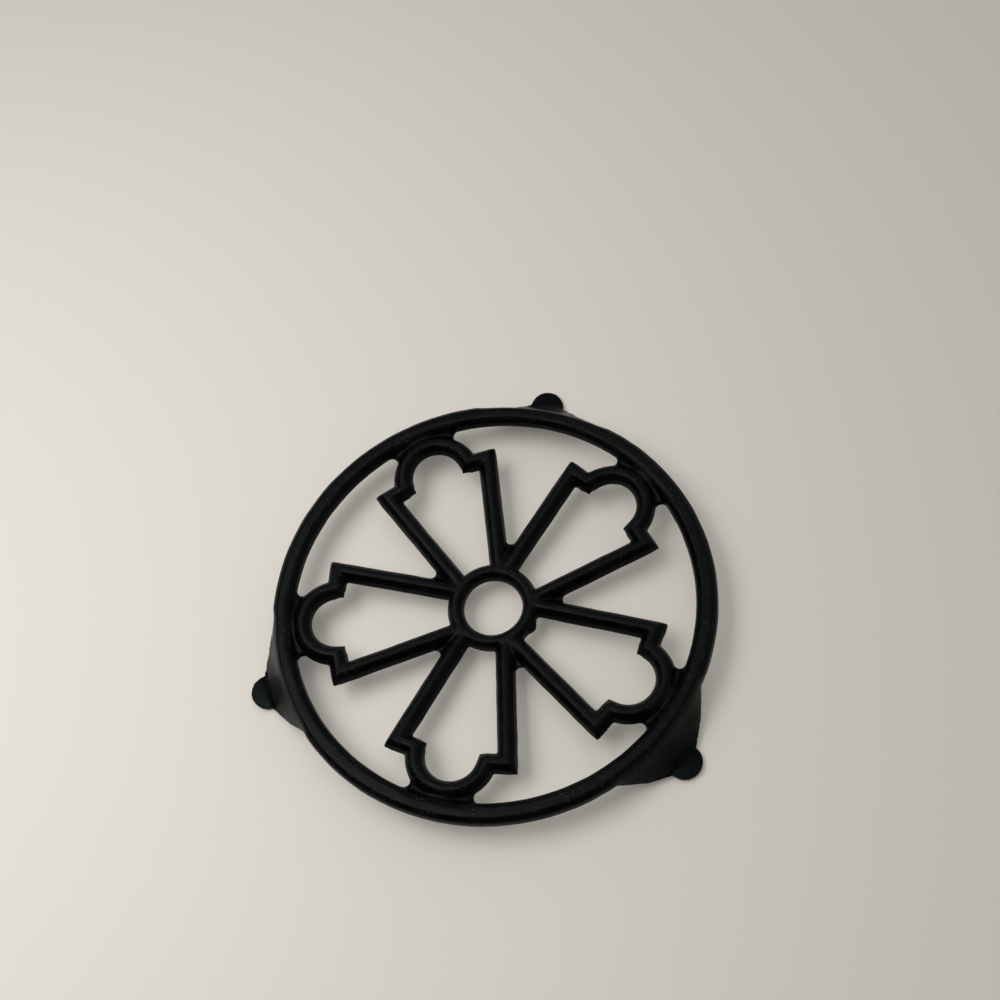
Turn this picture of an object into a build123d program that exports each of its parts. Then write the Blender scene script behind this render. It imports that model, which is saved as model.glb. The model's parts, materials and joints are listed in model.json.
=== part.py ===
from build123d import *
from math import acos, atan2, cos, degrees, radians, sin, tan
import os

# Round trivet of cast iron. The casting is divided at its own members: an outer rim, a hub
# ring, five tracery petals of two spokes and a shouldered arch each, and three bracket feet.
# The hub axis is Z and the table is Z = 0. The first petal's axis is +X.

# Ring sizes
RIM_DIAMETER = 200.0     # over the rim's parting line
RIM_WIDTH = 10.0
RIM_CREST = 4.4          # flat land that carries the pot
RIM_BULGE = 0.9          # how far the rim's flanks swell past a straight slope
HUB_HOLE = 26.0
HUB_WIDTH = 7.8

# Bar section, shared by the spokes, shoulders, arches and hub
BAR_WIDTH = 9.1
BAR_CREST = 2.6
BAR_BULGE = 0.6
BAR_DEPTH = 6.0          # flat underside to crest, the same on every member
EDGE_HEIGHT = 1.2        # parting line above the underside
EDGE_DRAFT = 0.4         # each side draws in by this much below the parting line
TOTAL_HEIGHT = 20.0      # table to the rim's crest
DISH_DROP = 4.5          # hub below the rim

# Petal plan
PETAL_COUNT = 5
SPOKE_LEAN = 15.9        # angle between a spoke and its petal's axis
SPOKE_OFFSET = 5.1       # where the spoke's centre line crosses the hub, off the petal's axis
ARCH_RADIUS = 15.85      # centre line of the arch
ARCH_LAP = 1.0           # how far the arch's outer edge runs into the rim
SHOULDER_SETBACK = 1.3   # shoulder corner behind the arch's centre
WEB_DEPTH = 2.2          # webs that fill the narrow ends of the gaps
VALLEY_ROUND = 2.6       # gap end between two spokes
GUSSET_ROUND = 3.0       # gap end between an arch and the rim
WEB_LAP = 0.4            # how far the webs run into the members beside them

# Bracket feet
FOOT_ANGLES = (-9.0, 109.2, 229.4)
TOE_RADIUS = 7.8
TOE_REACH = 8.2          # toe centre outside the rim
TOE_THICKNESS = 3.4
HEEL_SETBACK = 1.0       # foot of the apron's slope, behind the toe's centre
APRON_THICKNESS = 4.0
APRON_COVE = 7.0         # rounding where the apron's back meets the table
APRON_SETBACK = 1.4      # narrow end of the apron's base, behind the toe's centre
APRON_TOE_WIDTH = 16.9   # base of the apron at the toe
APRON_RIM_WIDTH = 43.8   # and under the middle of the rim
APRON_SWELL = 1.2        # how far the middle of each side stands outside a straight line
APRON_DRAFT = 20.0       # the apron's sides lean out by this angle as they rise

# Places worked out from the sizes
UNDERSIDE = TOTAL_HEIGHT - BAR_DEPTH
RIM_OUTER = RIM_DIAMETER / 2
RIM_INNER = RIM_OUTER - RIM_WIDTH
RIM_RADIUS = RIM_OUTER - RIM_WIDTH / 2
HUB_RADIUS = (HUB_HOLE + HUB_WIDTH) / 2
HUB_UNDERSIDE = UNDERSIDE - DISH_DROP
BAR_HALF = BAR_WIDTH / 2
PETAL_STEP = 360 / PETAL_COUNT
ARCH_CENTRE = RIM_INNER + ARCH_LAP - BAR_HALF - ARCH_RADIUS
TOE_CENTRE = RIM_OUTER + TOE_REACH

os.makedirs("parts", exist_ok=True)


def heading(angle):
    """Unit vector in plan, turned by an angle in degrees from +X."""
    return Vector(cos(radians(angle)), sin(radians(angle)), 0)


def section(plane, width, crest, bulge):
    """Bar section with a flat underside, swelling flanks and a flat crest, on a plane whose Y is up."""
    edge = width / 2
    foot = edge - EDGE_DRAFT
    land = crest / 2
    flank_run = edge - land
    flank_rise = BAR_DEPTH - EDGE_HEIGHT
    flank_middle = Vector((edge + land) / 2, (BAR_DEPTH + EDGE_HEIGHT) / 2)
    swell = flank_middle + Vector(flank_rise, flank_run).normalized() * bulge
    with BuildSketch(plane) as profile:
        with BuildLine():
            half = Polyline((0, 0), (foot, 0), (edge, EDGE_HEIGHT), swell, (land, BAR_DEPTH), (0, BAR_DEPTH))
            mirror(half, about=Plane.YZ)
        make_face()
    return profile.sketch


def ring_plane(radius, underside):
    """Plane through the hub axis, with its origin under a ring's crest."""
    return Plane(origin=(radius, 0, underside), x_dir=(1, 0, 0), z_dir=(0, -1, 0))


def save(solid, name):
    solid.label = name
    export_step(solid, f"parts/{name}.step")


# Rim and hub, two rings turned about the hub axis
with BuildPart() as rim:
    revolve(section(ring_plane(RIM_RADIUS, UNDERSIDE), RIM_WIDTH, RIM_CREST, RIM_BULGE), axis=Axis.Z)
save(rim.part, "outer_rim")

with BuildPart() as hub:
    revolve(section(ring_plane(HUB_RADIUS, HUB_UNDERSIDE), HUB_WIDTH, BAR_CREST, BAR_BULGE), axis=Axis.Z)
save(hub.part, "hub_ring")

# Path of half a petal: spoke to corner, shoulder to spring, then the arch
spoke_way = heading(SPOKE_LEAN)
spoke_side = heading(SPOKE_LEAN + 90)
spoke_start = Vector(0, SPOKE_OFFSET, UNDERSIDE)
corner_x = ARCH_CENTRE - SHOULDER_SETBACK
corner = Vector(corner_x, SPOKE_OFFSET + corner_x * tan(radians(SPOKE_LEAN)), UNDERSIDE)
spring = Vector(ARCH_CENTRE, ARCH_RADIUS, UNDERSIDE)
shoulder_way = (spring - corner).normalized()
arch_way = Vector(1, 0, 0)

# Mitre planes face outwards along the path, and the valley plane faces the next petal
corner_mitre = Plane(origin=corner, z_dir=spoke_way + shoulder_way)
spring_mitre = Plane(origin=spring, z_dir=shoulder_way + arch_way)
far_spring = (spring.X, -spring.Y, spring.Z)
far_spring_mitre = Plane(origin=far_spring, z_dir=(1 + shoulder_way.X, -shoulder_way.Y, 0))
valley_way = heading(PETAL_STEP / 2)
valley = Plane(origin=(0, 0, 0), z_dir=heading(PETAL_STEP / 2 + 90))


# A petal is drawn level and then tips down from the rim's inner edge to the hub
dish_axis = Axis((RIM_INNER, 0, UNDERSIDE), (0, -1, 0))
dish_angle = degrees(atan2(DISH_DROP, RIM_INNER - HUB_RADIUS))


def bar_plane(start, way):
    """Plane across a straight bar that runs along way."""
    return Plane(origin=start, x_dir=Vector(0, 0, 1).cross(way), z_dir=way)


# Rounded end of the gap between two spokes, just inside the edges of both of them
spread = sin(radians(PETAL_STEP / 2 - SPOKE_LEAN))
line_offset = SPOKE_OFFSET * cos(radians(SPOKE_LEAN))
valley_centre = valley_way * ((line_offset + BAR_HALF - WEB_LAP + VALLEY_ROUND) / spread)
valley_end = valley_centre - valley_way * VALLEY_ROUND
valley_touch = valley_centre - spoke_side * VALLEY_ROUND
valley_root = valley_way * (line_offset / spread)

with BuildPart() as level_spoke:
    spoke_length = (corner - spoke_start).length + BAR_WIDTH
    extrude(section(bar_plane(spoke_start, spoke_way), BAR_WIDTH, BAR_CREST, BAR_BULGE), spoke_length)
    split(bisect_by=corner_mitre, keep=Keep.BOTTOM)
    with BuildSketch(Plane.XY.offset(UNDERSIDE)):
        with BuildLine():
            Polyline(valley_end, valley_root, valley_touch - spoke_side * (BAR_HALF - WEB_LAP), valley_touch)
            RadiusArc(valley_touch, valley_end, VALLEY_ROUND)
        make_face()
    extrude(amount=WEB_DEPTH)

with BuildPart() as spoke:
    add(level_spoke.part.rotate(dish_axis, dish_angle))
    split(bisect_by=valley, keep=Keep.BOTTOM)
    Cylinder(HUB_RADIUS, 2 * TOTAL_HEIGHT, mode=Mode.SUBTRACT)
    add(hub.part, mode=Mode.SUBTRACT)

# Rounded end of the gap between an arch and the rim, just inside the edges of both of them
arch_outer = ARCH_RADIUS + BAR_HALF - WEB_LAP
rim_inner = RIM_INNER + WEB_LAP
gap_reach = arch_outer + GUSSET_ROUND
gap_orbit = rim_inner - GUSSET_ROUND
gap_angle = degrees(acos((gap_orbit**2 - ARCH_CENTRE**2 - gap_reach**2) / (2 * ARCH_CENTRE * gap_reach)))
arch_middle = Vector(ARCH_CENTRE, 0, 0)
gap_centre = arch_middle + heading(gap_angle) * gap_reach
arch_touch = arch_middle + heading(gap_angle) * arch_outer
rim_touch = gap_centre.normalized() * rim_inner

# Shoulder on one side of the petal, between its two mitres
with BuildPart() as shoulder:
    shoulder_start = corner - shoulder_way * BAR_WIDTH
    shoulder_length = (spring - corner).length + 2 * BAR_WIDTH
    shoulder_plane = bar_plane(shoulder_start, shoulder_way)
    extrude(section(shoulder_plane, BAR_WIDTH, BAR_CREST, BAR_BULGE), shoulder_length)
    split(bisect_by=corner_mitre, keep=Keep.TOP)
    split(bisect_by=spring_mitre, keep=Keep.BOTTOM)

with BuildPart() as level_arch:
    arch_plane = ring_plane(ARCH_CENTRE + ARCH_RADIUS, UNDERSIDE)
    arch_axis = Axis((ARCH_CENTRE, 0, 0), (0, 0, 1))
    revolve(section(arch_plane, BAR_WIDTH, BAR_CREST, BAR_BULGE), axis=arch_axis)
    split(bisect_by=Plane.YZ.offset(ARCH_CENTRE - ARCH_RADIUS / 2), keep=Keep.TOP)
    split(bisect_by=spring_mitre, keep=Keep.TOP)
    split(bisect_by=far_spring_mitre, keep=Keep.TOP)
    add(shoulder.part)
    mirror(shoulder.part, about=Plane.XZ)
    with BuildSketch(Plane.XY.offset(UNDERSIDE)):
        with BuildLine():
            arch_root = arch_middle + heading(gap_angle) * ARCH_RADIUS
            rim_root = gap_centre.normalized() * RIM_RADIUS
            crown = (ARCH_CENTRE + ARCH_RADIUS, 0)
            Polyline(arch_touch, arch_root, crown, (RIM_RADIUS, 0), rim_root, rim_touch)
            RadiusArc(rim_touch, arch_touch, GUSSET_ROUND)
        make_face()
        mirror(about=Plane.XZ)
    extrude(amount=WEB_DEPTH)

with BuildPart() as arch:
    add(level_arch.part.rotate(dish_axis, dish_angle))
    add(rim.part, mode=Mode.SUBTRACT)

for number in range(1, PETAL_COUNT + 1):
    turn = (number - 1) * PETAL_STEP
    with BuildPart() as left_spoke:
        add(spoke.part, rotation=(0, 0, turn))
    save(left_spoke.part, f"spoke_{number}_left")
    with BuildPart() as right_spoke:
        add(mirror(spoke.part, about=Plane.XZ, mode=Mode.PRIVATE), rotation=(0, 0, turn))
    save(right_spoke.part, f"spoke_{number}_right")
    with BuildPart() as petal_arch:
        add(arch.part, rotation=(0, 0, turn))
    save(petal_arch.part, f"arch_{number}")

# Bracket foot: a radial profile turned about the hub axis, trimmed to a drafted apron and a round toe
apron_lead = (RIM_OUTER - EDGE_DRAFT / 2, UNDERSIDE + EDGE_HEIGHT / 2)
heel = (TOE_CENTRE - HEEL_SETBACK, TOE_THICKNESS)
slope = atan2(apron_lead[1] - heel[1], heel[0] - apron_lead[0])
apron_top = (apron_lead[0] - EDGE_HEIGHT * cos(slope), apron_lead[1] + EDGE_HEIGHT * sin(slope))
tip = TOE_CENTRE + 2 * TOE_RADIUS
seat = UNDERSIDE + EDGE_HEIGHT


def apron_back(height):
    """Radius of the apron's back face at a height, parallel to its front."""
    return heel[0] - (height - TOE_THICKNESS) / tan(slope) - APRON_THICKNESS / sin(slope)


with BuildPart() as foot_plan:
    with BuildSketch(Plane.XY):
        with BuildLine():
            narrow = Vector(TOE_CENTRE - APRON_SETBACK, APRON_TOE_WIDTH / 2)
            wide = Vector(RIM_RADIUS, APRON_RIM_WIDTH / 2)
            side_way = (wide - narrow).normalized()
            swell = (narrow + wide) / 2 + Vector(side_way.Y, -side_way.X) * APRON_SWELL
            near_side = [(point.X, point.Y) for point in (narrow, swell, wide)]
            far_side = [(along, -across) for along, across in reversed(near_side)]
            Polyline(*near_side, *far_side, close=True)
        make_face()
    extrude(amount=TOTAL_HEIGHT, taper=-APRON_DRAFT)
    with BuildSketch(Plane.XY):
        with Locations((TOE_CENTRE, 0)):
            Circle(TOE_RADIUS)
    extrude(amount=TOTAL_HEIGHT)

with BuildPart() as foot:
    with BuildSketch(Plane.XZ) as radial:
        with BuildLine():
            outside = Polyline(apron_top, heel, (tip, TOE_THICKNESS), (tip, 0))
            Polyline(outside @ 1, (apron_back(0), 0), (apron_back(seat), seat), apron_top)
        make_face()
        fillet(radial.vertices().sort_by_distance((apron_back(0), 0))[0], APRON_COVE)
    revolve(axis=Axis.Z)
    add(foot_plan.part, mode=Mode.INTERSECT)
    add(rim.part, mode=Mode.SUBTRACT)

for number, turn in enumerate(FOOT_ANGLES, start=1):
    with BuildPart() as bracket_foot:
        add(foot.part, rotation=(0, 0, turn))
    save(bracket_foot.part, f"foot_{number}")
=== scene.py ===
import json
from math import atan2, cos, hypot, pi, radians, sin

import bmesh
import bpy
from bpy.props import FloatProperty, FloatVectorProperty, IntProperty, PointerProperty
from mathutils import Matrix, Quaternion, Vector
from mathutils.kdtree import KDTree

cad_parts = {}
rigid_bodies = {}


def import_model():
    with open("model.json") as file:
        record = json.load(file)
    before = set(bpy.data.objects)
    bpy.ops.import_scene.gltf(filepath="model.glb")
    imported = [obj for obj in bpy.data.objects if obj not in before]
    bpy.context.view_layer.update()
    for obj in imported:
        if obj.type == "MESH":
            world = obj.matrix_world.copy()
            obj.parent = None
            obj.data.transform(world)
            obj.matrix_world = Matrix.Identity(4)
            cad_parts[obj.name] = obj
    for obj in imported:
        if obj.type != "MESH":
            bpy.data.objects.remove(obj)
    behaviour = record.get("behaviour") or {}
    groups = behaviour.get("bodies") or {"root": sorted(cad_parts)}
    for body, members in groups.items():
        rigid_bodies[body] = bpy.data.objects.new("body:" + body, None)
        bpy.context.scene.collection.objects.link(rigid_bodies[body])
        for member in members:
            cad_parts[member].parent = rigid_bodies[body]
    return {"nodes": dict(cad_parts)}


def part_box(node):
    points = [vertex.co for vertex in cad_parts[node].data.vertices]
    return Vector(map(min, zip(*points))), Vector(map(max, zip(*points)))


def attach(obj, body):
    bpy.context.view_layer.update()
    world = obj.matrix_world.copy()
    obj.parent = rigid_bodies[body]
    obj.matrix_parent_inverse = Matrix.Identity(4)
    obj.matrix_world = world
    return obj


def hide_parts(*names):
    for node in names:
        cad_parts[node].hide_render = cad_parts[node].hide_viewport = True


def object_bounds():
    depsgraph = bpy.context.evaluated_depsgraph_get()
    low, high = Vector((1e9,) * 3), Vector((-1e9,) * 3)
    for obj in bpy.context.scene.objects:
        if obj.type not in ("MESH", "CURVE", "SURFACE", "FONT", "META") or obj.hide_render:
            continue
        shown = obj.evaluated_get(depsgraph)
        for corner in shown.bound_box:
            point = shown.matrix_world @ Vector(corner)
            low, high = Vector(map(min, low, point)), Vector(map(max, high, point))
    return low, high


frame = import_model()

# A round trivet of cast iron. The whole casting is poured as one soft skin over the packed
# solids and then parted into its members, so that the parted members still meet without a line.

bl_info = {
    "name": "Cast iron trivet",
    "version": (1, 0, 0),
    "blender": (4, 5, 0),
    "location": "3D View > Sidebar > Trivet",
    "description": "Pours, parts and finishes a round trivet of satin black cast iron",
    "category": "Object",
}

CAD_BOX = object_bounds()
BODY = "root"
SKIN = "casting_skin"
SKIN_NORMAL = "skin_normal"
CREST = "crest"
PETALS = sum(name.startswith("arch_") for name in frame["nodes"])
FEET = sum(name.startswith("foot_") for name in frame["nodes"])
RIM_LOW, RIM_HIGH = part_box("outer_rim")
HUB_LOW, HUB_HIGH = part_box("hub_ring")
FOOT_BOXES = [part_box(f"foot_{number}") for number in range(1, FEET + 1)]
FOOT_WAYS = [(low + high).xy.to_3d().normalized() for low, high in FOOT_BOXES]

# Meshing: corners this close are one, slack of a cut, and how far a cut looks up and down
WELD = 1e-7
CUT_SLACK = 1e-8
CUT_DEPTH = 0.010

# Faces below which a loose part is a crumb, and how far a member may miss its node's box
CRUMB_FACES = 100
BOX_MISS = 0.02

# Strength of one smoothing pass, digits kept of a vertex weight, and the level of the waves' middle
SMOOTH_STEP = 0.5
WEIGHT_DIGITS = 3
WAVE_LEVEL = 0.6

# Shares of the casting's depth where the crown, the fills and the painted glint specks begin, and where
# they are full
CROWN_RISE = (0.45, 0.80)
FILL_RISE = (0.15, 0.35)
CREST_RISE = (0.75, 0.95)

# Flow on a foot: from none to all of it, by the depth inside the rim's or the toe's edge, and by the
# height above the table, on the toe and on the apron
RIM_DEPTH = (0.0032, 0.0010)
TOE_DEPTH = (0.0006, 0.0030)
TOE_HEIGHT = (0.0024, 0.0030)
APRON_HEIGHT = (0.0045, 0.0065)

# Flow on a petal: from none to all of it, by the distance from a neck or tip, and from a groove or valley
POINT_FADE = (0.0045, 0.0020)
LINE_FADE = (0.0045, 0.0025)

# Half widths of the soft sides of an apron's flow, and of the other limits in plan
APRON_SOFT = 0.004
PLAN_SOFT = 0.002

# How far the skin faces outwards and upwards where the front of a foot begins, and where it is all front
FRONT_FACING = (0.3, 0.7)

# Patterns of the finish: scale and levels of the pits, of the mottle, and the largest painted glint speck
# in its cell
PIT_SCALE = 0.22
PIT_LEVELS = (0.35, 0.6)
MOTTLES_PER_METRE = 95.0
MOTTLE_LEVELS = (0.38, 0.68)
SPECK_LARGEST = 0.40

# Sockets of a mix node for colours, several of which share a name
MIX_SHARE = 0
MIX_FIRST = 6
MIX_SECOND = 7
MIX_RESULT = 2

# Roughness that the mottle takes away and adds
SMOOTHER = 0.05
ROUGHER = 0.07

# Facing towards the bright side where the surroundings begin to brighten, and where they are brightest
BRIGHT_FACING = (-0.3, 0.5)

# Floor mesh and paint, and the nearest that the camera sees
FLOOR_SEGMENTS = 4
FLOOR_ROUGHNESS = 0.7
NEAR_CLIP = 0.01


class TrivetCasting(bpy.types.PropertyGroup):
    """Sizes of the poured skin and of the places where it is parted."""

    grid: FloatProperty(
        name="Skin grid", description="Mesh size of the poured skin", default=0.00055, unit="LENGTH")
    soften: IntProperty(
        name="Soften", description="Passes that round the edges and fill the corners", default=2)
    crown: IntProperty(
        name="Crown", description="Passes that crown the rim's land", default=7)
    crown_bars: FloatProperty(
        name="Bar crown", description="Share of the crown that the bars get", default=0.15,
        subtype="FACTOR")
    flow: IntProperty(
        name="Flow", description="Passes that let the rim flow into the toes and fill the petals' corners",
        default=500)
    flow_width: FloatProperty(
        name="Flow width", description="Half width of an apron under the rim", default=0.0285,
        unit="LENGTH")
    neck_along: FloatProperty(
        name="Neck along", description="Point between shoulder and arch, along the petal", default=0.0667,
        unit="LENGTH")
    neck_across: FloatProperty(
        name="Neck across", description="Point between shoulder and arch, off the petal's axis",
        default=0.0113, unit="LENGTH")
    neck_blunt: FloatProperty(
        name="Neck blunt", description="Share of the flow that blunts the necks", default=0.24,
        subtype="FACTOR")
    tip_along: FloatProperty(
        name="Tip along", description="Outer point of a shoulder, along the petal", default=0.0730,
        unit="LENGTH")
    tip_across: FloatProperty(
        name="Tip across", description="Outer point of a shoulder, off the petal's axis", default=0.0306,
        unit="LENGTH")
    tip_blunt: FloatProperty(
        name="Tip blunt", description="Share of the flow that blunts the tips", default=0.058,
        subtype="FACTOR")
    groove_fill: FloatProperty(
        name="Groove fill", description="Share of the flow that fills the groove between arch and rim",
        default=0.144, subtype="FACTOR")
    groove_width: FloatProperty(
        name="Groove width", description="Half width of the groove between arch and rim", default=0.016,
        unit="LENGTH")
    valley_fill: FloatProperty(
        name="Valley fill", description="Share of the flow that fills the valley between two spokes",
        default=0.058, subtype="FACTOR")
    valley_reach: FloatProperty(
        name="Valley reach", description="Hub axis to the open end of a valley", default=0.030,
        unit="LENGTH")
    toe_middle: FloatProperty(
        name="Toe middle", description="Hub axis to the middle of a toe", default=0.1082, unit="LENGTH")
    toe_radius: FloatProperty(
        name="Toe radius", description="Radius of a toe", default=0.0078, unit="LENGTH")
    rim_inside: FloatProperty(
        name="Rim inside", description="Hub axis to the rim's inner edge", default=0.0900, unit="LENGTH")
    wave_height: FloatProperty(
        name="Wave height", description="Unevenness of the sand mould", default=0.0003, unit="LENGTH")
    wave_length: FloatProperty(
        name="Wave length", description="Spacing of the unevenness", default=0.011, unit="LENGTH")
    hub_parting: FloatProperty(
        name="Hub parting", description="Hub axis to the cut across two spokes", default=0.0215,
        unit="LENGTH")
    hub_reach: FloatProperty(
        name="Hub reach", description="Half width of the cut across two spokes", default=0.0115,
        unit="LENGTH")
    pair_middle: FloatProperty(
        name="Pair middle", description="Hub axis to the middle of two spokes", default=0.045,
        unit="LENGTH")
    corner_along: FloatProperty(
        name="Corner along", description="Shoulder corner along the petal", default=0.0693, unit="LENGTH")
    corner_across: FloatProperty(
        name="Corner across", description="Shoulder corner off the petal's axis", default=0.02484,
        unit="LENGTH")
    corner_mitre: FloatProperty(
        name="Corner mitre", description="Way through the shoulder corner's cut",
        default=radians(-33.0), subtype="ANGLE")
    corner_reach: FloatProperty(
        name="Corner reach", description="Half width of the cut through a corner", default=0.0085,
        unit="LENGTH")
    arch_parting: FloatProperty(
        name="Arch parting", description="Hub axis to the cut behind an arch", default=0.0873,
        unit="LENGTH")
    arch_reach: FloatProperty(
        name="Arch reach", description="Half width of the cut behind an arch", default=0.0156,
        unit="LENGTH")
    foot_parting: FloatProperty(
        name="Foot parting", description="Cut below the rim's underside", default=0.0004, unit="LENGTH")
    foot_reach: FloatProperty(
        name="Foot reach", description="Half width of the cut above a foot", default=0.045, unit="LENGTH")
    foot_inside: FloatProperty(
        name="Foot inside", description="Hub axis to the back of the feet, at least", default=0.0925,
        unit="LENGTH")
    lump_place: FloatVectorProperty(
        name="Lump place", description="Small casting lump on the hub's outer edge",
        default=(0.0206, 0.0006, 0.0105), subtype="XYZ_LENGTH")
    lump_height: FloatProperty(
        name="Lump height", description="How far the lump stands out", default=0.0013, unit="LENGTH")
    lump_radius: FloatProperty(
        name="Lump radius", description="How far the lump spreads", default=0.0040, unit="LENGTH")


class TrivetFinish(bpy.types.PropertyGroup):
    """Colours and gloss of the black iron."""

    iron: FloatVectorProperty(
        name="Iron", description="Satin black", default=(0.0004, 0.0005, 0.0005),
        subtype="COLOR", min=0, max=1, size=3)
    bloom: FloatVectorProperty(
        name="Bloom", description="Greyer patches of the black", default=(0.0012, 0.0015, 0.0016),
        subtype="COLOR", min=0, max=1, size=3)
    # Painted glints: tiny light specks painted near the crests, in place of the glints of the sand grain
    # catching the light
    painted_glints: FloatVectorProperty(
        name="Painted glints", description="Tiny light specks", default=(0.040, 0.042, 0.040),
        subtype="COLOR", min=0, max=1, size=3)
    grain_size: FloatProperty(
        name="Grain size", description="Sand grain of the casting", default=0.0007, unit="LENGTH")
    grain_depth: FloatProperty(
        name="Grain depth", description="Depth of the sand grain", default=0.0003, unit="LENGTH")
    grain_strength: FloatProperty(
        name="Grain strength", description="How clearly the grain shows", default=0.3, subtype="FACTOR")
    speck_spacing: FloatProperty(
        name="Speck spacing", description="Size of the cells that hold one speck at most", default=0.0009,
        unit="LENGTH")
    # Shares of the painted glint specks, on each member
    specks_rim: FloatProperty(
        name="Rim specks", description="Share of the specks that the rim has", default=0.70,
        subtype="FACTOR")
    specks_bars: FloatProperty(
        name="Bar specks", description="Share of the specks that the petals and hub have", default=0.50,
        subtype="FACTOR")
    specks_feet: FloatProperty(
        name="Foot specks", description="Share of the specks that the feet have", default=0.30,
        subtype="FACTOR")
    specular: FloatProperty(
        name="Specular", description="Strength of the satin reflections", default=0.10, subtype="FACTOR")
    sheen: FloatVectorProperty(
        name="Sheen", description="Tint of the satin reflections", default=(0.89, 1.0, 0.98),
        subtype="COLOR", min=0, max=1, size=3)
    sheen_feet: FloatVectorProperty(
        name="Foot sheen", description="Tint of the reflections on the feet", default=(0.72, 0.90, 0.92),
        subtype="COLOR", min=0, max=1, size=3)
    rough_rim: FloatProperty(
        name="Rim roughness", description="Gloss of the rim", default=0.36, subtype="FACTOR")
    rough_bars: FloatProperty(
        name="Bar roughness", description="Gloss of the petals and hub", default=0.36, subtype="FACTOR")
    rough_feet: FloatProperty(
        name="Foot roughness", description="Gloss of the feet", default=0.38, subtype="FACTOR")


class TrivetStage(bpy.types.PropertyGroup):
    """Floor, light and camera."""

    floor: FloatVectorProperty(
        name="Floor", description="Plain pale floor", default=(0.85, 0.80, 0.72),
        subtype="COLOR", min=0, max=1, size=3)
    floor_reach: FloatProperty(
        name="Floor reach", description="Half the side of the floor", default=10.0, unit="LENGTH")
    glow: FloatProperty(
        name="Floor glow", description="Paleness of the floor that adds no light", default=0.14)
    world_bright: FloatProperty(
        name="Bright side", description="Level of the surroundings on the bright side", default=0.38)
    world_dim: FloatProperty(
        name="Dim side", description="Level of the surroundings away from it", default=0.05)
    world_way: FloatProperty(
        name="Bright way", description="Way to the bright side, from +X", default=radians(75),
        subtype="ANGLE")
    world_tint: FloatVectorProperty(
        name="Surroundings tint", description="Colour of the surroundings", default=(0.96, 0.99, 1.0),
        subtype="COLOR", min=0, max=1, size=3)
    key: FloatProperty(
        name="Key light", description="Watts of the soft light over the left", default=1.20)
    key_size: FloatProperty(
        name="Key size", description="Side of the key light", default=0.7, unit="LENGTH")
    key_place: FloatVectorProperty(
        name="Key place", description="Where the key light hangs", default=(-0.420, -0.290, 0.750),
        subtype="XYZ_LENGTH")
    key_aim: FloatVectorProperty(
        name="Key aim", description="Point of the floor that the key light faces",
        default=(-0.280, -0.190, 0.0), subtype="XYZ_LENGTH")
    key_spread: FloatProperty(
        name="Key spread", description="Angle of the key light's pool", default=radians(85),
        subtype="ANGLE")
    ceiling: FloatProperty(
        name="Ceiling light", description="Watts of the very large soft light overhead", default=3.8)
    ceiling_size: FloatProperty(
        name="Ceiling size", description="Side of the ceiling light", default=1.4, unit="LENGTH")
    ceiling_place: FloatVectorProperty(
        name="Ceiling place", description="Where the ceiling light hangs", default=(-0.200, 0.156, 1.470),
        subtype="XYZ_LENGTH")
    camera: FloatVectorProperty(
        name="Camera", description="Where the camera stands", default=(0.22199, -0.17467, 0.65890),
        subtype="XYZ_LENGTH")
    aim: FloatVectorProperty(
        name="Aim", description="Point of the floor in the middle of the picture",
        default=(-0.03023, 0.05048, 0.0), subtype="XYZ_LENGTH")
    roll: FloatProperty(
        name="Roll", description="Tilt of the camera about its view", default=radians(-17.70),
        subtype="ANGLE")
    lens: FloatProperty(
        name="Lens", description="Focal length in millimetres", default=56.83)


def heading(angle):
    """Unit vector in plan."""
    return Vector((cos(angle), sin(angle), 0))


def shown(name, data):
    """New object with a mesh, light or camera, in the scene."""
    piece = bpy.data.objects.new(name, data)
    bpy.context.scene.collection.objects.link(piece)
    return piece


def settle(piece):
    """Applies a piece's modifiers to its mesh."""
    evaluated = piece.evaluated_get(bpy.context.evaluated_depsgraph_get())
    mesh = bpy.data.meshes.new_from_object(evaluated)
    old = piece.data
    piece.modifiers.clear()
    piece.data = mesh
    bpy.data.meshes.remove(old)


def poured_copy():
    """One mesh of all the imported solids, each merged from its loose triangles."""
    whole = bmesh.new()
    for node in frame["nodes"].values():
        member = bmesh.new()
        member.from_mesh(node.data)
        bmesh.ops.remove_doubles(member, verts=member.verts, dist=WELD)
        copy = bpy.data.meshes.new("member_copy")
        member.to_mesh(copy)
        member.free()
        whole.from_mesh(copy)
        bpy.data.meshes.remove(copy)
    mesh = bpy.data.meshes.new(SKIN)
    whole.to_mesh(mesh)
    whole.free()
    return mesh


def eased(value, start, end):
    """Rises smoothly from 0 at start to 1 at end."""
    share = min(max((value - start) / (end - start), 0), 1)
    return share * share * (3 - 2 * share)


def within(value, limit, soft):
    """Falls smoothly from 1 to 0 across a limit."""
    return eased(value, limit + soft, limit - soft)


def inside_edge(value, edge, depths):
    """Rises smoothly from 0 to 1 between two depths inside an edge."""
    return eased(value, edge - depths[0], edge - depths[1])


def rise(place):
    """Share of the casting's depth at a place, 0 on the underside and 1 on the crest."""
    along = (place.xy.length - HUB_HIGH.x) / (RIM_HIGH.x - HUB_HIGH.x)
    underside = HUB_LOW.z + (RIM_LOW.z - HUB_LOW.z) * min(max(along, 0), 1)
    return (place.z - underside) / (RIM_HIGH.z - RIM_LOW.z)


def crown_share(vert, casting):
    """How much of the crown a vertex gets: none on the flanks, less on the bars than on the rim."""
    on_rim = eased(vert.co.xy.length, casting.rim_inside - PLAN_SOFT, casting.rim_inside + PLAN_SOFT)
    member = casting.crown_bars + (1 - casting.crown_bars) * on_rim
    return member * eased(rise(vert.co), *CROWN_RISE)


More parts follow.
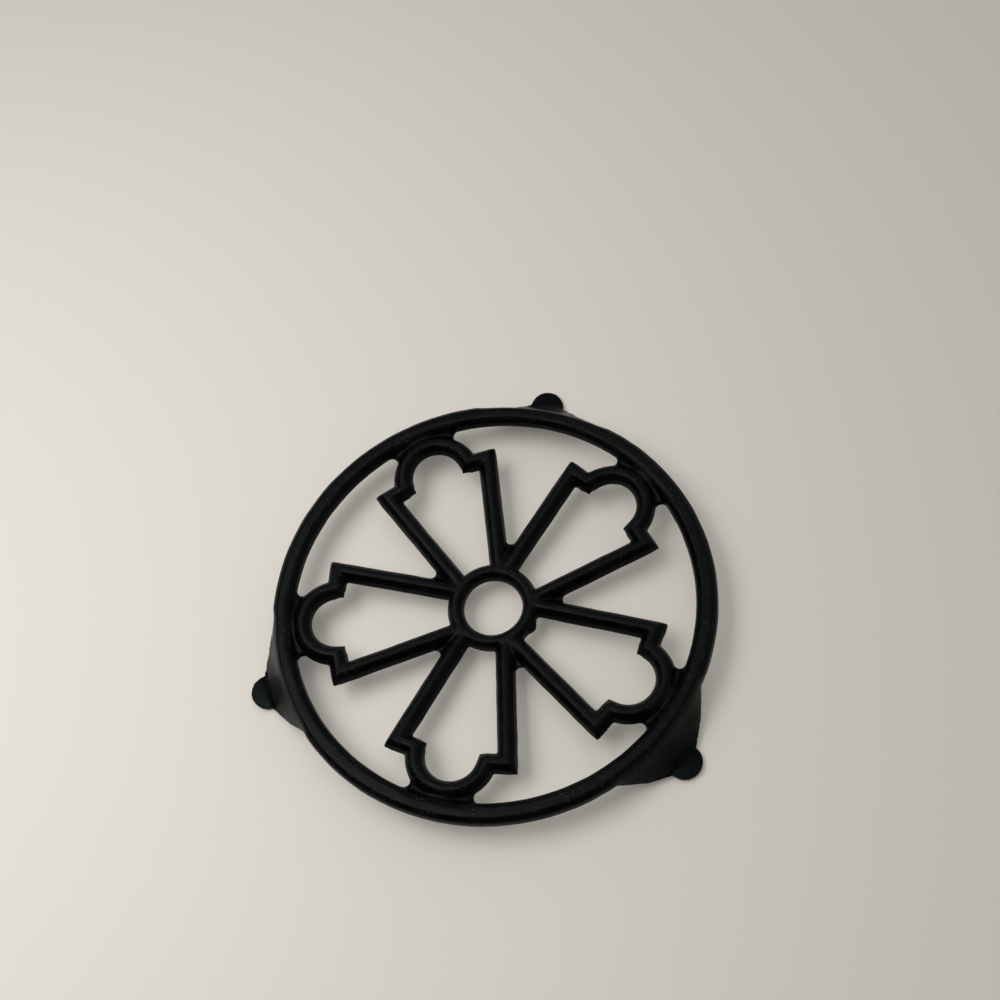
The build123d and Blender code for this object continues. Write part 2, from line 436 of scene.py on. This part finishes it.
def foot_flow(vert, casting):
    """Flow on a foot: the front of the apron, from the rim's crest into the middle of the toe."""
    way = max(FOOT_WAYS, key=vert.co.dot)
    front = eased(vert.normal.dot(way) + vert.normal.z, *FRONT_FACING)
    beside = within(abs(way.cross(vert.co).z), casting.flow_width, APRON_SOFT)
    outside = inside_edge(vert.co.xy.length, RIM_HIGH.x, RIM_DEPTH)
    off_toe = (vert.co - way * casting.toe_middle).xy.length
    on_toe = inside_edge(off_toe, casting.toe_radius, TOE_DEPTH)
    above = max(eased(vert.co.z, *APRON_HEIGHT), on_toe * eased(vert.co.z, *TOE_HEIGHT))
    return front * beside * outside * above


def petal_flow(vert, casting):
    """Flow on a petal: its necks and tips, the groove behind its arch, and the valleys beside it."""
    step = 2 * pi / PETALS
    radius = vert.co.xy.length
    turn = atan2(vert.co.y, vert.co.x)
    off = turn - step * round(turn / step)
    along = radius * cos(off)
    across = abs(radius * sin(off))
    off_neck = hypot(along - casting.neck_along, across - casting.neck_across)
    neck = casting.neck_blunt * eased(off_neck, *POINT_FADE)
    off_tip = hypot(along - casting.tip_along, across - casting.tip_across)
    tip = casting.tip_blunt * eased(off_tip, *POINT_FADE)
    middle = eased(abs(radius - casting.rim_inside), *LINE_FADE)
    groove = casting.groove_fill * middle * within(across, casting.groove_width, PLAN_SOFT)
    inside = eased(radius, casting.valley_reach, casting.valley_reach - PLAN_SOFT)
    off_valley = radius * sin(step / 2 - abs(off))
    valley = casting.valley_fill * inside * eased(off_valley, *LINE_FADE)
    return max(neck, tip, eased(rise(vert.co), *FILL_RISE) * max(groove, valley))


def flow_share(vert, casting):
    """How much of the flow a vertex gets."""
    return max(foot_flow(vert, casting), petal_flow(vert, casting))


def weigh(piece, name, share_of, casting):
    """Vertex group whose weights come from each vertex's place."""
    group = piece.vertex_groups.new(name=name)
    shelves = {}
    for vert in piece.data.vertices:
        shelves.setdefault(round(share_of(vert, casting), WEIGHT_DIGITS), []).append(vert.index)
    for share, verts in shelves.items():
        group.add(verts, share, "REPLACE")
    return group.name


def smoothed(piece, name, passes, group=""):
    """Smooth modifier, all over or within a vertex group."""
    modifier = piece.modifiers.new(name, "SMOOTH")
    modifier.factor = SMOOTH_STEP
    modifier.iterations = passes
    modifier.vertex_group = group


def soft_skin(casting):
    """The poured skin: remeshed as one, softened, and a little uneven as sand leaves it."""
    skin = shown(SKIN, poured_copy())
    remesh = skin.modifiers.new("one skin", "REMESH")
    remesh.mode = "VOXEL"
    remesh.voxel_size = casting.grid
    settle(skin)
    smoothed(skin, "soft edges", casting.soften)
    smoothed(skin, "crowned land", casting.crown, weigh(skin, "crown", crown_share, casting))
    smoothed(skin, "flowing corners", casting.flow, weigh(skin, "flow", flow_share, casting))
    waves = bpy.data.textures.new("sand_waves", "CLOUDS")
    waves.noise_scale = casting.wave_length
    waves.noise_depth = 1
    uneven = skin.modifiers.new("sand unevenness", "DISPLACE")
    uneven.texture = waves
    uneven.texture_coords = "LOCAL"
    uneven.strength = casting.wave_height
    uneven.mid_level = WAVE_LEVEL
    settle(skin)
    skin.vertex_groups.clear()
    return skin


def raise_lump(bm, casting):
    """Pushes the small casting lump out of the skin."""
    place = Vector(casting.lump_place)
    for vert in bm.verts:
        share = (vert.co - place).length / casting.lump_radius
        if share < 1:
            vert.co += vert.normal * casting.lump_height * (1 - share * share) ** 2


def straddles(face, point, normal):
    """Whether a face has corners on both sides of a plane."""
    sides = [(vert.co - point).dot(normal) for vert in face.verts]
    return min(sides) < 0 < max(sides)


def cut_faces(bm, faces, point, normal):
    """Cuts some faces along a plane and opens the mesh there, if the cut runs all the way round."""
    edges = {edge for face in faces for edge in face.edges}
    verts = {vert for face in faces for vert in face.verts}
    cut = bmesh.ops.bisect_plane(
        bm, geom=[*faces, *edges, *verts], dist=CUT_SLACK, plane_co=point, plane_no=normal)
    seam = [part for part in cut["geom_cut"] if isinstance(part, bmesh.types.BMEdge)]
    ends = {}
    for vert in (vert for edge in seam for vert in edge.verts):
        ends[vert] = ends.get(vert, 0) + 1
    if not seam or any(count % 2 for count in ends.values()):
        raise RuntimeError(f"the cut at {tuple(point)} doesn't run all the way round")
    bmesh.ops.split_edges(bm, edges=seam)


def close_ends(bm):
    """Closes the open ends with flat faces."""
    ends = [edge for edge in bm.edges if edge.is_boundary]
    caps = bmesh.ops.holes_fill(bm, edges=ends, sides=0)["faces"]
    for face in caps:
        face.smooth = False
    bmesh.ops.triangulate(bm, faces=caps)
    if any(edge.is_boundary for edge in bm.edges):
        raise RuntimeError("a cut end stays open")


class SkinCutter:
    """Cuts a skin along planes, each within its own reach."""

    def __init__(self, bm):
        self.bm = bm
        self.faces = bm.faces[:]
        self.tree = KDTree(len(self.faces))
        for index, face in enumerate(self.faces):
            self.tree.insert(face.calc_center_median(), index)
        self.tree.balance()

    def cut(self, point, normal, reach, beyond=0.0):
        """Cuts within reach of a point in plan, where the skin is further than beyond from the hub axis."""
        faces = []
        for place, index, _ in self.tree.find_range(point, reach + CUT_DEPTH):
            near = (place - point).xy.length < reach and place.xy.length > beyond
            if near and straddles(self.faces[index], point, normal):
                faces.append(self.faces[index])
        cut_faces(self.bm, faces, point, normal)


def part_skin(skin, casting):
    """Cuts the skin between the members, but for the two spokes that leave the hub together."""
    bm = bmesh.new()
    bm.from_mesh(skin.data)
    for face in bm.faces:
        face.smooth = True
    raise_lump(bm, casting)
    bm.normal_update()
    normal = bm.verts.layers.float_vector.new(SKIN_NORMAL)
    # Crest share of each vertex: the mask that keeps the painted glint specks to the crests
    crest = bm.verts.layers.float.new(CREST)
    for vert in bm.verts:
        vert[normal] = vert.normal
        vert[crest] = eased(rise(vert.co), *CREST_RISE)
        vert.co.z = min(max(vert.co.z, CAD_BOX[0].z), CAD_BOX[1].z)
    cutter = SkinCutter(bm)
    level = Vector((0, 0, (RIM_LOW.z + RIM_HIGH.z) / 2))
    middle = Vector((0, 0, (HUB_LOW.z + HUB_HIGH.z) / 2))
    for number in range(PETALS):
        along = 2 * pi * number / PETALS
        way = heading(along)
        cutter.cut(way * casting.arch_parting + level, way, casting.arch_reach)
        between = heading(along + pi / PETALS)
        cutter.cut(between * casting.hub_parting + middle, between, casting.hub_reach)
        for side in (-1, 1):
            across = heading(along + pi / 2) * side
            corner = way * casting.corner_along + across * casting.corner_across
            mitre = heading(along + side * casting.corner_mitre)
            cutter.cut(corner + level, mitre, casting.corner_reach)
    for way in FOOT_WAYS:
        foot = way * RIM_HIGH.x
        foot.z = RIM_LOW.z - casting.foot_parting
        cutter.cut(foot, Vector((0, 0, 1)), casting.foot_reach, beyond=casting.foot_inside)
    close_ends(bm)
    bm.to_mesh(skin.data)
    bm.free()


def loose_parts(piece):
    """Separates a mesh into its loose parts, without the crumbs that the remesh can leave."""
    before = set(bpy.data.objects)
    bpy.ops.object.select_all(action="DESELECT")
    bpy.context.view_layer.objects.active = piece
    piece.select_set(True)
    bpy.ops.object.mode_set(mode="EDIT")
    bpy.ops.mesh.select_all(action="SELECT")
    bpy.ops.mesh.separate(type="LOOSE")
    bpy.ops.object.mode_set(mode="OBJECT")
    parts = []
    for part in [piece, *(set(bpy.data.objects) - before)]:
        if len(part.data.polygons) < CRUMB_FACES:
            bpy.data.objects.remove(part)
        else:
            parts.append(part)
    return parts


def box_of(piece):
    """Lowest and highest corner of a piece's box."""
    corners = [Vector(corner) for corner in piece.bound_box]
    return corners[0], corners[6]


def middle_of(piece):
    """Middle of a piece's box."""
    low, high = box_of(piece)
    return (low + high) / 2


def loose_members():
    """The members of the casting that haven't been named yet."""
    return [piece for piece in bpy.data.objects if piece.name.startswith(SKIN)]


def halve_pairs(parts, casting):
    """Cuts each pair of spokes along the valley between them."""
    for number in range(PETALS):
        between = 2 * pi * (number + 0.5) / PETALS
        place = heading(between) * casting.pair_middle
        pair = min(parts, key=lambda part: (middle_of(part) - place).xy.length)
        bm = bmesh.new()
        bm.from_mesh(pair.data)
        across = heading(between + pi / 2)
        cut_faces(bm, [face for face in bm.faces if straddles(face, Vector(), across)], Vector(), across)
        close_ends(bm)
        bm.to_mesh(pair.data)
        bm.free()
        loose_parts(pair)


def keep_skin_normals(mesh):
    """Shades a member by the whole skin's normals, so that no line shows where it was parted."""
    stored = mesh.attributes[SKIN_NORMAL].data
    normals = []
    for face in mesh.polygons:
        for corner in face.loop_indices:
            vert = mesh.loops[corner].vertex_index
            normals.append(Vector(stored[vert].vector).normalized() if face.use_smooth else Vector())
    mesh.normals_split_custom_set(normals)
    mesh.attributes.remove(mesh.attributes[SKIN_NORMAL])


def member_for(node):
    """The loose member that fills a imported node's box best."""
    low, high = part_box(node)
    best = None
    least = BOX_MISS
    for piece in loose_members():
        piece_low, piece_high = box_of(piece)
        miss = (piece_low - low).length + (piece_high - high).length
        if miss < least:
            best = piece
            least = miss
    if best is None:
        raise RuntimeError(f"no member of the skin stands for {node}")
    return best


def finish_member(node, material):
    """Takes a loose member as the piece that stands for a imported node."""
    piece = member_for(node)
    piece.name = node + "_skin"
    piece.data.name = piece.name
    keep_skin_normals(piece.data)
    piece.data.materials.clear()
    piece.data.materials.append(bpy.data.materials[material])
    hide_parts(node)
    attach(piece, BODY)


def node_group(name, inputs, outputs):
    """New shader node group with float inputs and named outputs."""
    group = bpy.data.node_groups.new(name, "ShaderNodeTree")
    for label, default in inputs:
        socket = group.interface.new_socket(label, in_out="INPUT", socket_type="NodeSocketFloat")
        socket.default_value = default
    for label in outputs:
        group.interface.new_socket(label, in_out="OUTPUT", socket_type="NodeSocketFloat")
    return group, group.nodes.new("NodeGroupInput"), group.nodes.new("NodeGroupOutput")


def ramp(tree, source, low, high):
    """Stretches a value between two levels to 0 and 1."""
    node = tree.nodes.new("ShaderNodeMapRange")
    node.interpolation_type = "SMOOTHSTEP"
    node.inputs["From Min"].default_value = low
    node.inputs["From Max"].default_value = high
    tree.links.new(source, node.inputs["Value"])
    return node.outputs["Result"]


def arithmetic(tree, operation, first, second):
    """Math node on two sockets or numbers."""
    node = tree.nodes.new("ShaderNodeMath")
    node.operation = operation
    for socket, value in zip(node.inputs, (first, second)):
        if isinstance(value, (int, float)):
            socket.default_value = value
        else:
            tree.links.new(value, socket)
    return node.outputs["Value"]


def noise(tree, place, scale, detail):
    """Noise on object coordinates, with its scale from a socket or number."""
    node = tree.nodes.new("ShaderNodeTexNoise")
    node.inputs["Detail"].default_value = detail
    tree.links.new(place, node.inputs["Vector"])
    if isinstance(scale, (int, float)):
        node.inputs["Scale"].default_value = scale
    else:
        tree.links.new(scale, node.inputs["Scale"])
    return node.outputs["Fac"]


def sand_grain_group():
    """Relief of sand-cast iron, of fine grain and wider pits, and the mottle of its colour and gloss."""
    group, given, result = node_group(
        "sand_grain", [("Grains per metre", 1500.0), ("Pit share", 0.4)], ["Height", "Mottle"])
    place = group.nodes.new("ShaderNodeTexCoord").outputs["Object"]
    scale = given.outputs["Grains per metre"]
    grain = noise(group, place, scale, detail=3.0)
    coarse = noise(group, place, arithmetic(group, "MULTIPLY", scale, PIT_SCALE), detail=2.0)
    pits = arithmetic(group, "MULTIPLY", ramp(group, coarse, *PIT_LEVELS), given.outputs["Pit share"])
    group.links.new(arithmetic(group, "ADD", grain, pits), result.inputs["Height"])
    clouds = noise(group, place, MOTTLES_PER_METRE, detail=4.0)
    group.links.new(ramp(group, clouds, *MOTTLE_LEVELS), result.inputs["Mottle"])
    return group


def glint_speck_group():
    """Mask of sparse tiny specks, where light glints are painted."""
    group, given, result = node_group(
        "light_specks", [("Specks per metre", 400.0), ("Share", 0.3)], ["Mask"])
    place = group.nodes.new("ShaderNodeTexCoord").outputs["Object"]
    cells = group.nodes.new("ShaderNodeTexVoronoi")
    group.links.new(place, cells.inputs["Vector"])
    group.links.new(given.outputs["Specks per metre"], cells.inputs["Scale"])
    pick = group.nodes.new("ShaderNodeSeparateColor")
    group.links.new(cells.outputs["Color"], pick.inputs["Color"])
    chosen = arithmetic(group, "LESS_THAN", pick.outputs["Red"], given.outputs["Share"])
    size = arithmetic(group, "MULTIPLY", pick.outputs["Green"], SPECK_LARGEST)
    dot = arithmetic(group, "LESS_THAN", cells.outputs["Distance"], size)
    group.links.new(arithmetic(group, "MULTIPLY", chosen, dot), result.inputs["Mask"])
    return group


def colour_mix(tree, share, first, second):
    """Mix of two colours, given as sockets or values."""
    node = tree.nodes.new("ShaderNodeMix")
    node.data_type = "RGBA"
    for number, value in ((MIX_SHARE, share), (MIX_FIRST, first), (MIX_SECOND, second)):
        if isinstance(value, bpy.types.NodeSocket):
            tree.links.new(value, node.inputs[number])
        else:
            node.inputs[number].default_value = (*value, 1)
    return node.outputs[MIX_RESULT]


def iron_material(name, groups, finish, sheen, roughness, share):
    """Satin black iron: dark mottled colour, sparse light specks painted near the crests as glints, sand
    grain in the relief.
    """
    material = bpy.data.materials.new(name)
    material.use_nodes = True
    tree = material.node_tree
    shader = tree.nodes["Principled BSDF"]
    shader.inputs["Specular IOR Level"].default_value = finish.specular
    shader.inputs["Specular Tint"].default_value = (*sheen, 1)
    grain = tree.nodes.new("ShaderNodeGroup")
    grain.node_tree = groups["grain"]
    grain.inputs["Grains per metre"].default_value = 1 / finish.grain_size
    painted_glints = tree.nodes.new("ShaderNodeGroup")
    painted_glints.node_tree = groups["painted_glints"]
    painted_glints.inputs["Specks per metre"].default_value = 1 / finish.speck_spacing
    painted_glints.inputs["Share"].default_value = share
    black = colour_mix(tree, grain.outputs["Mottle"], finish.iron, finish.bloom)
    # Painted glints: light specks, only near the crests and on the mottle's patches, where the grain would
    # catch the light
    crest = tree.nodes.new("ShaderNodeAttribute")
    crest.attribute_name = CREST
    patches = arithmetic(tree, "MULTIPLY", crest.outputs["Fac"], grain.outputs["Mottle"])
    specks = arithmetic(tree, "MULTIPLY", patches, painted_glints.outputs["Mask"])
    tree.links.new(colour_mix(tree, specks, black, finish.painted_glints), shader.inputs["Base Color"])
    gloss = tree.nodes.new("ShaderNodeMapRange")
    gloss.inputs["To Min"].default_value = roughness - SMOOTHER
    gloss.inputs["To Max"].default_value = roughness + ROUGHER
    tree.links.new(grain.outputs["Mottle"], gloss.inputs["Value"])
    tree.links.new(gloss.outputs["Result"], shader.inputs["Roughness"])
    bump = tree.nodes.new("ShaderNodeBump")
    bump.inputs["Strength"].default_value = finish.grain_strength
    bump.inputs["Distance"].default_value = finish.grain_depth
    tree.links.new(grain.outputs["Height"], bump.inputs["Height"])
    tree.links.new(bump.outputs["Normal"], shader.inputs["Normal"])
    return material


class TRIVET_OT_finish(bpy.types.Operator):
    """Makes the satin black finishes of the iron"""

    bl_idname = "trivet.finish"
    bl_label = "Black iron finishes"

    def execute(self, context):
        finish = context.scene.trivet_finish
        groups = {"grain": sand_grain_group(), "painted_glints": glint_speck_group()}
        for name, sheen, roughness, share in (
                ("satin_black_rim", finish.sheen, finish.rough_rim, finish.specks_rim),
                ("satin_black_bars", finish.sheen, finish.rough_bars, finish.specks_bars),
                ("satin_black_feet", finish.sheen_feet, finish.rough_feet, finish.specks_feet)):
            iron_material(name, groups, finish, sheen, roughness, share)
        return {"FINISHED"}


class TRIVET_OT_pour(bpy.types.Operator):
    """Pours the casting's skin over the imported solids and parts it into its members"""

    bl_idname = "trivet.pour"
    bl_label = "Pour and part the casting"

    def execute(self, context):
        casting = context.scene.trivet_casting
        skin = soft_skin(casting)
        part_skin(skin, casting)
        halve_pairs(loose_parts(skin), casting)
        count = len(loose_members())
        if count != len(frame["nodes"]):
            raise RuntimeError(f"the skin parted into {count} members, not {len(frame['nodes'])}")
        return {"FINISHED"}


class TRIVET_OT_rings(bpy.types.Operator):
    """Takes the outer rim and the hub ring from the parted casting"""

    bl_idname = "trivet.rings"
    bl_label = "Rim and hub"

    def execute(self, context):
        finish_member("outer_rim", "satin_black_rim")
        finish_member("hub_ring", "satin_black_bars")
        return {"FINISHED"}


class TRIVET_OT_petals(bpy.types.Operator):
    """Takes the spokes and arches of the petals from the parted casting"""

    bl_idname = "trivet.petals"
    bl_label = "Petals"

    def execute(self, context):
        for number in range(1, PETALS + 1):
            for member in (f"spoke_{number}_left", f"spoke_{number}_right", f"arch_{number}"):
                finish_member(member, "satin_black_bars")
        return {"FINISHED"}


class TRIVET_OT_feet(bpy.types.Operator):
    """Takes the bracket feet from the parted casting"""

    bl_idname = "trivet.feet"
    bl_label = "Feet"

    def execute(self, context):
        for number in range(1, FEET + 1):
            finish_member(f"foot_{number}", "satin_black_feet")
        return {"FINISHED"}


def surroundings(stage):
    """World that is brighter on one side than on the other."""
    world = bpy.data.worlds.new("surroundings")
    world.use_nodes = True
    tree = world.node_tree
    facing = tree.nodes.new("ShaderNodeVectorMath")
    facing.operation = "DOT_PRODUCT"
    facing.inputs[1].default_value = heading(stage.world_way)
    tree.links.new(tree.nodes.new("ShaderNodeTexCoord").outputs["Generated"], facing.inputs[0])
    level = tree.nodes.new("ShaderNodeMapRange")
    level.inputs["From Min"].default_value = BRIGHT_FACING[0]
    level.inputs["From Max"].default_value = BRIGHT_FACING[1]
    level.inputs["To Min"].default_value = stage.world_dim
    level.inputs["To Max"].default_value = stage.world_bright
    tree.links.new(facing.outputs["Value"], level.inputs["Value"])
    tree.links.new(level.outputs["Result"], tree.nodes["Background"].inputs["Strength"])
    tree.nodes["Background"].inputs["Color"].default_value = (*stage.world_tint, 1)
    return world


def pale_paint(stage):
    """Plain floor paint, with a glow that is seen and mirrored but lights nothing."""
    paint = bpy.data.materials.new("pale_floor")
    paint.use_nodes = True
    tree = paint.node_tree
    shader = tree.nodes["Principled BSDF"]
    shader.inputs["Base Color"].default_value = (*stage.floor, 1)
    shader.inputs["Emission Color"].default_value = (*stage.floor, 1)
    shader.inputs["Roughness"].default_value = FLOOR_ROUGHNESS
    rays = tree.nodes.new("ShaderNodeLightPath")
    seen = rays.outputs["Is Camera Ray"]
    for kind in ("Is Glossy Ray", "Is Transmission Ray"):
        seen = arithmetic(tree, "MAXIMUM", seen, rays.outputs[kind])
    glow = arithmetic(tree, "MULTIPLY", seen, stage.glow)
    tree.links.new(glow, shader.inputs["Emission Strength"])
    return paint


def wide_floor(stage):
    """Flat floor at the height of the table."""
    bm = bmesh.new()
    bmesh.ops.create_grid(bm, x_segments=FLOOR_SEGMENTS, y_segments=FLOOR_SEGMENTS, size=stage.floor_reach)
    mesh = bpy.data.meshes.new("floor")
    bm.to_mesh(mesh)
    bm.free()
    mesh.materials.append(pale_paint(stage))
    return shown("floor", mesh)


def aimed(name, data, place, aim):
    """New light or camera at a place, facing a point."""
    piece = shown(name, data)
    piece.location = place
    piece.rotation_mode = "QUATERNION"
    piece.rotation_quaternion = (Vector(aim) - Vector(place)).to_track_quat("-Z", "Y")
    return piece


def soft_light(name, power, size, place, aim=(0, 0, 0), spread=pi):
    """Square soft light that faces a point, the foot of the hub axis if none is given."""
    data = bpy.data.lights.new(name, "AREA")
    data.energy = power
    data.size = size
    data.spread = spread
    aimed(name, data, place, aim)


def photo_camera(stage):
    """Camera that looks at a point of the floor, tilted about its view."""
    data = bpy.data.cameras.new("camera")
    data.lens = stage.lens
    data.clip_start = NEAR_CLIP
    camera = aimed("camera", data, stage.camera, stage.aim)
    camera.rotation_quaternion = camera.rotation_quaternion @ Quaternion((0, 0, 1), stage.roll)
    return camera


class TRIVET_OT_stage(bpy.types.Operator):
    """Sets a pale floor, soft light and the camera"""

    bl_idname = "trivet.stage"
    bl_label = "Floor, light and camera"

    def execute(self, context):
        stage = context.scene.trivet_stage
        floor = wide_floor(stage)
        context.scene.world = surroundings(stage)
        soft_light("key_light", stage.key, stage.key_size, stage.key_place, stage.key_aim, stage.key_spread)
        soft_light("ceiling_light", stage.ceiling, stage.ceiling_size, stage.ceiling_place)
        context.scene.camera = photo_camera(stage)
        context.scene.view_settings.view_transform = "Standard"
        return {"FINISHED"}


STEPS = (
    TRIVET_OT_finish, TRIVET_OT_pour, TRIVET_OT_rings, TRIVET_OT_petals, TRIVET_OT_feet, TRIVET_OT_stage)
GROUPS = {"trivet_casting": TrivetCasting, "trivet_finish": TrivetFinish, "trivet_stage": TrivetStage}


class TRIVET_PT_panel(bpy.types.Panel):
    """Lists the steps and what can be changed"""

    bl_idname = "TRIVET_PT_panel"
    bl_label = "Trivet"
    bl_space_type = "VIEW_3D"
    bl_region_type = "UI"
    bl_category = "Trivet"

    def draw(self, context):
        for step in STEPS:
            self.layout.operator(step.bl_idname)
        for name, group in GROUPS.items():
            box = self.layout.box()
            for field in group.__annotations__:
                box.prop(getattr(context.scene, name), field)


def register():
    for group in GROUPS.values():
        bpy.utils.register_class(group)
    for step in STEPS:
        bpy.utils.register_class(step)
    bpy.utils.register_class(TRIVET_PT_panel)
    for name, group in GROUPS.items():
        setattr(bpy.types.Scene, name, PointerProperty(type=group))


def unregister():
    for name in GROUPS:
        delattr(bpy.types.Scene, name)
    bpy.utils.unregister_class(TRIVET_PT_panel)
    for step in reversed(STEPS):
        bpy.utils.unregister_class(step)
    for group in GROUPS.values():
        bpy.utils.unregister_class(group)


def main():
    register()
    bpy.ops.trivet.finish()
    bpy.ops.trivet.pour()
    bpy.ops.trivet.rings()
    bpy.ops.trivet.petals()
    bpy.ops.trivet.feet()
    bpy.ops.trivet.stage()
    bpy.context.view_layer.update()


if __name__ == "__main__":
    main()
